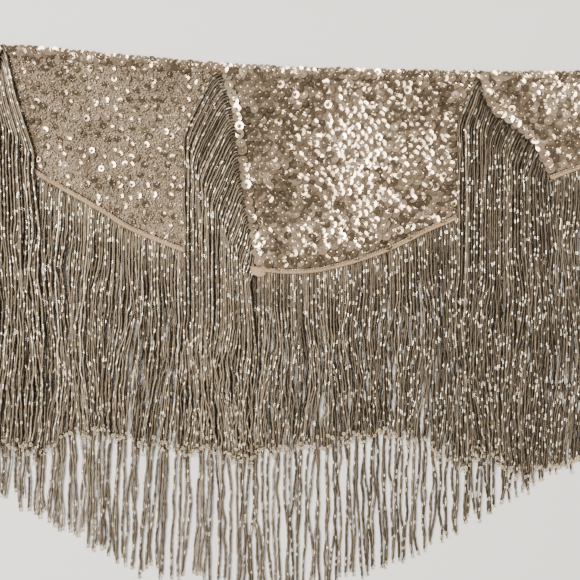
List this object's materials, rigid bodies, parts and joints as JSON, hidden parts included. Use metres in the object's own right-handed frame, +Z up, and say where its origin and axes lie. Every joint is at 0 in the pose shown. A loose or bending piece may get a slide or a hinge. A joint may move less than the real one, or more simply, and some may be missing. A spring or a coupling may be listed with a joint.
{
  "type": "beaded belt",
  "caption": "Hip belt of overlapping sequined panels with bound hems and long two-tier beaded fringe, closed and laid flat.",
  "frame": {"origin": "centre of the bounding box seen from above, on the surface that the belt lies on", "axes": "+X towards the right of the picture, +Y towards the waist edge, +Z up, out of the front"},
  "size_m": [0.474, 0.3952, 0.0121],
  "materials": {
    "lining": "dull olive-grey woven cloth",
    "sequins": "cloth covered with overlapping champagne-silver cup sequins",
    "binding": "tan turned tape with beading and stitches",
    "beads": "strings of silver-lined olive-grey glass beads"
  },
  "bodies": {
    "root": {"back_layer": "lining", "back_fringe": "beads", "waist_binding": "binding", "left_outer_panel": "sequins", "left_outer_binding": "binding", "left_outer_fringe": "beads", "left_outer_side_fringe": "beads", "left_front_panel": "sequins", "left_front_binding": "binding", "left_front_fringe": "beads", "right_front_panel": "sequins", "right_front_binding": "binding", "right_front_fringe": "beads", "right_front_side_fringe": "beads", "right_outer_panel": "sequins", "right_outer_binding": "binding", "right_outer_fringe": "beads", "right_outer_side_fringe": "beads"}
  },
  "joints": []
}
